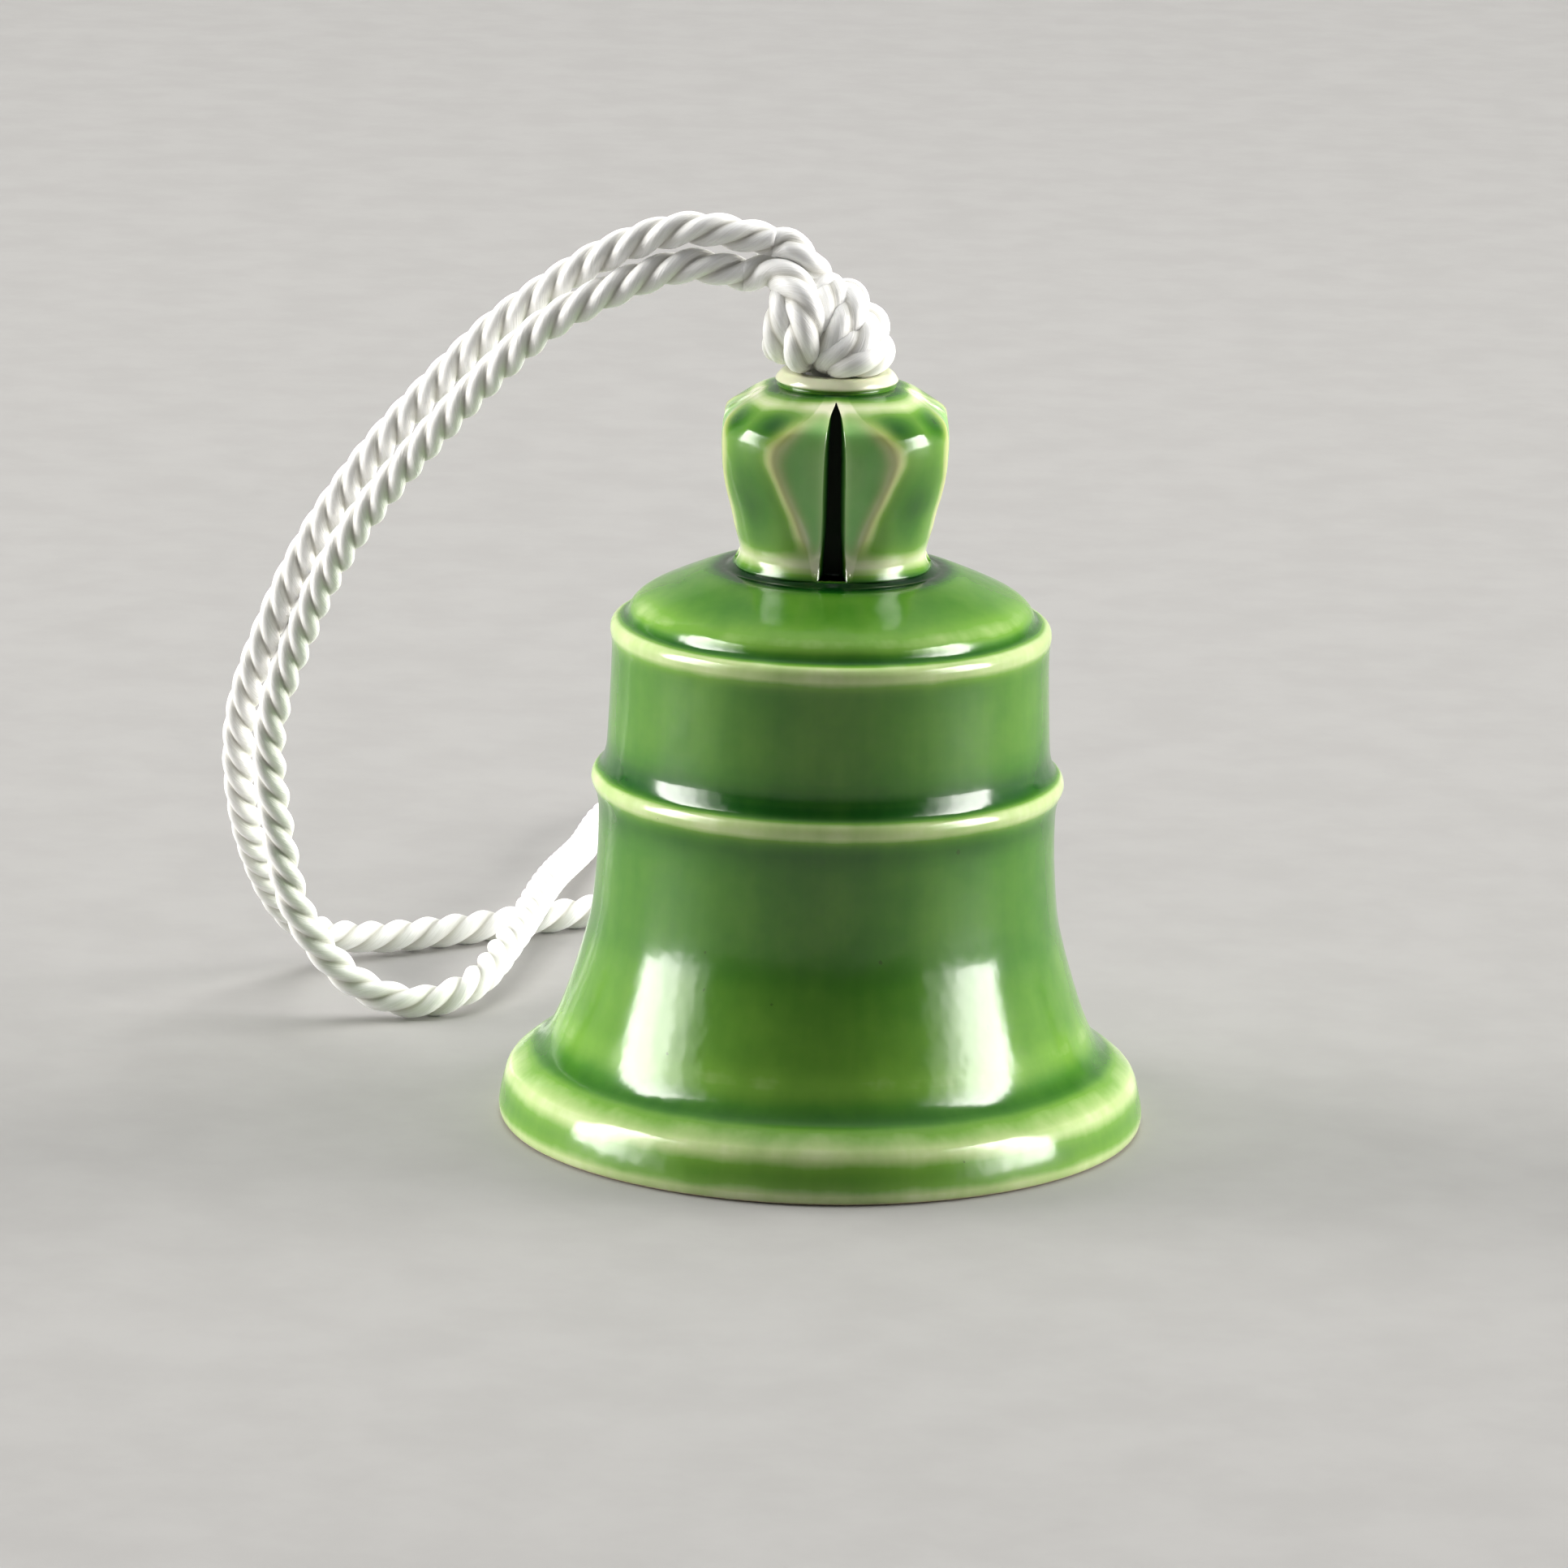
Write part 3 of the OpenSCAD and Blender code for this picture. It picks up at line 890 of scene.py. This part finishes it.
def make_ball(material):
    """The clapper: a ball cut flat at both ends, with a softened bore for its cord."""
    low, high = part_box("clapper_ball")
    radius = (high[0] - low[0]) / 2
    middle = (low[2] + high[2]) / 2
    flat = (high[2] - low[2]) / 2
    start = math.atan2(flat, math.sqrt(radius ** 2 - flat ** 2))
    outline = []
    for k in range(BALL_STEPS + 1):
        turn = start - 2 * start * k / BALL_STEPS
        outline.append((radius * math.cos(turn), middle + radius * math.sin(turn)))
    lip = [(0.3 * MM, 0), (0.05 * MM, 0.1 * MM), (0, 0.5 * MM)]
    outline += [(BORE_R + out, middle - flat + up) for out, up in lip]
    outline += [(BORE_R + out, middle + flat - up) for out, up in reversed(lip)]
    vertices, faces = closed_rings(turned(outline, BALL_AROUND))
    obj = add_object("clapper_ball_ceramic", vertices, faces, material)
    near_bore = np.array([point[0] < PALE_WITHIN for point in outline])
    add_attribute(obj, "glaze", np.repeat(0.45 - 0.3 * near_bore, BALL_AROUND))
    add_attribute(obj, "bare", np.zeros(len(vertices)))
    return obj


# ---------------------------------------------------------------- the pieces

cord_look = cord_material()
glaze_look = glaze_material()
loop_cord, loop_line, knot_cord = make_cord(cord_look)
ride_as(loop_cord, "cord", "white_cord", "hanging_loop")
ride_as(knot_cord, "cord", "white_cord", "top_knot")
ride_as(upright_cord("left_strand", cord_look), "cord", "white_cord", "left_strand")
ride_as(upright_cord("right_strand", cord_look), "cord", "white_cord", "right_strand")
ride_as(axis_knot("stopper_knot", 2.2, cord_look), "stopper", "white_cord", "stopper_knot")
ride_as(tail_cord(cord_look), "stopper", "white_cord", "cord_tail")
ride_as(upright_cord("clapper_cord", cord_look, True), "clapper", "white_cord", "clapper_cord")
ride_as(axis_knot("end_knot", 1.4, cord_look), "clapper", "white_cord", "end_knot")
ride_as(make_bell(glaze_look), "bell", "green_glaze", "bell_body")
ride_as(make_crown(glaze_look), "bell", "green_glaze", "crown")
ride_as(make_ball(glaze_look), "clapper", "green_glaze", "clapper_ball")


# ---------------------------------------------------------------- stage and light

FLOOR_HALF = 3.0
FLOOR_FRONT = -3.0
BACKDROP_Y = 2.2
BACKDROP_HEIGHT = 1.8
BEND_R = 0.8              # the floor's curve up into the backdrop
BEND_STEPS = 12


def make_floor():
    """A pale floor that curves up into a backdrop far behind the bell."""
    bend_y = BACKDROP_Y - BEND_R
    outline = [(FLOOR_FRONT, 0.0), (bend_y, 0.0)]
    for step in range(1, BEND_STEPS + 1):
        a = math.pi / 2 * step / BEND_STEPS
        outline.append((bend_y + BEND_R * math.sin(a), BEND_R - BEND_R * math.cos(a)))
    outline.append((BACKDROP_Y, BACKDROP_HEIGHT))
    vertices = [(x, y, z) for y, z in outline for x in (-FLOOR_HALF, FLOOR_HALF)]
    faces = [(2 * k, 2 * k + 1, 2 * k + 3, 2 * k + 2) for k in range(len(outline) - 1)]
    floor = add_object("floor", vertices, faces, floor_material())


WARM = (1.0, 0.98, 0.95)
NEUTRAL = (1.0, 0.99, 0.97)
COOL = (0.97, 0.98, 1.0)


def area_light(name, place, target, size, power, colour):
    """A rectangular light at place, turned to its target; size is its width and height."""
    data = bpy.data.lights.new(name, "AREA")
    data.shape = "RECTANGLE"
    data.size, data.size_y = size
    data.energy = power
    data.color = colour
    light = bpy.data.objects.new(name, data)
    way = Vector(place) - Vector(target)
    light.location = place
    light.rotation_mode = "QUATERNION"
    light.rotation_quaternion = way.to_track_quat("Z", "Y")
    light.visible_camera = False
    bpy.context.scene.collection.objects.link(light)
    return light


WINDOW_DISTANCE = 0.7
WINDOW_Z = 0.32
STRIP_SIZE = (0.1, 0.62)
STRIP_TURN = 8            # degrees from one strip of a window to the next
STRIP_SHARES = ((-2, 0.1), (-1, 0.35), (0, 0.8), (1, 1.0), (2, 1.1))


def make_window(side, azimuth, power):
    """A tall soft window in five strips, brightest on the side away from the camera. It
    makes only highlights."""
    for step, share in STRIP_SHARES:
        a = math.radians(azimuth + STRIP_TURN * step)
        place = (side * WINDOW_DISTANCE * math.sin(a), -WINDOW_DISTANCE * math.cos(a), WINDOW_Z)
        strip = area_light("window", place, (0, 0, 0.2), STRIP_SIZE, power * share, WARM)
        strip.visible_diffuse = False


def make_fill(name, place, target, size, power, colour):
    """A soft light that makes no highlights."""
    fill = area_light(name, place, target, size, power, colour)
    fill.visible_glossy = False


def make_lights():
    """A window on each side for the highlights, and fills for the light itself."""
    make_window(-1, 75, 3.5)
    make_window(1, 70, 3.7)
    for side in (-1, 1):
        make_fill("side", (side * 2.4, 0.6, 0.66), (0, 0, 0.03), (1.5, 1.2), 117.0, WARM)
    make_fill("above", (0, 0.12, 0.9), (0, 0, 0), (0.6, 0.6), 5.5, NEUTRAL)
    make_fill("backdrop", (0, 1.0, 1.3), (0, 1.2, 0), (2.0, 0.8), 11.0, COOL)


# The world's colour by how far up a direction points, and its share by how far back.
SKY = [
    (0.0, (0.6, 0.6, 0.6)), (0.15, (0.3, 0.3, 0.3)),
    (0.4, (0.15, 0.155, 0.16)), (1.0, (0.5, 0.515, 0.53)),
]
FRONT_TO_BACK = [(0.1, (0.3, 0.3, 0.3)), (0.7, (1.0, 1.0, 1.0))]


def make_world():
    """Soft light of a room: bright overhead, dim above the horizon, darker in front."""
    world = bpy.data.worlds.new("studio")
    world.use_nodes = True
    tree = world.node_tree
    way = node(tree, "ShaderNodeTexCoord").outputs["Generated"]
    parts = node(tree, "ShaderNodeSeparateXYZ")
    tree.links.new(way, parts.inputs["Vector"])
    back = math_node(tree, "ADD", parts.outputs["Y"], 1.0)
    back = math_node(tree, "MULTIPLY", back, 0.5)
    sky = ramp(tree, parts.outputs["Z"], SKY)
    light = mix_colours(tree, 1.0, sky, ramp(tree, back, FRONT_TO_BACK), blend="MULTIPLY")
    tree.links.new(light, tree.nodes["Background"].inputs["Color"])
    bpy.context.scene.world = world


make_floor()
make_lights()
make_world()
bpy.context.scene.view_settings.view_transform = "Standard"
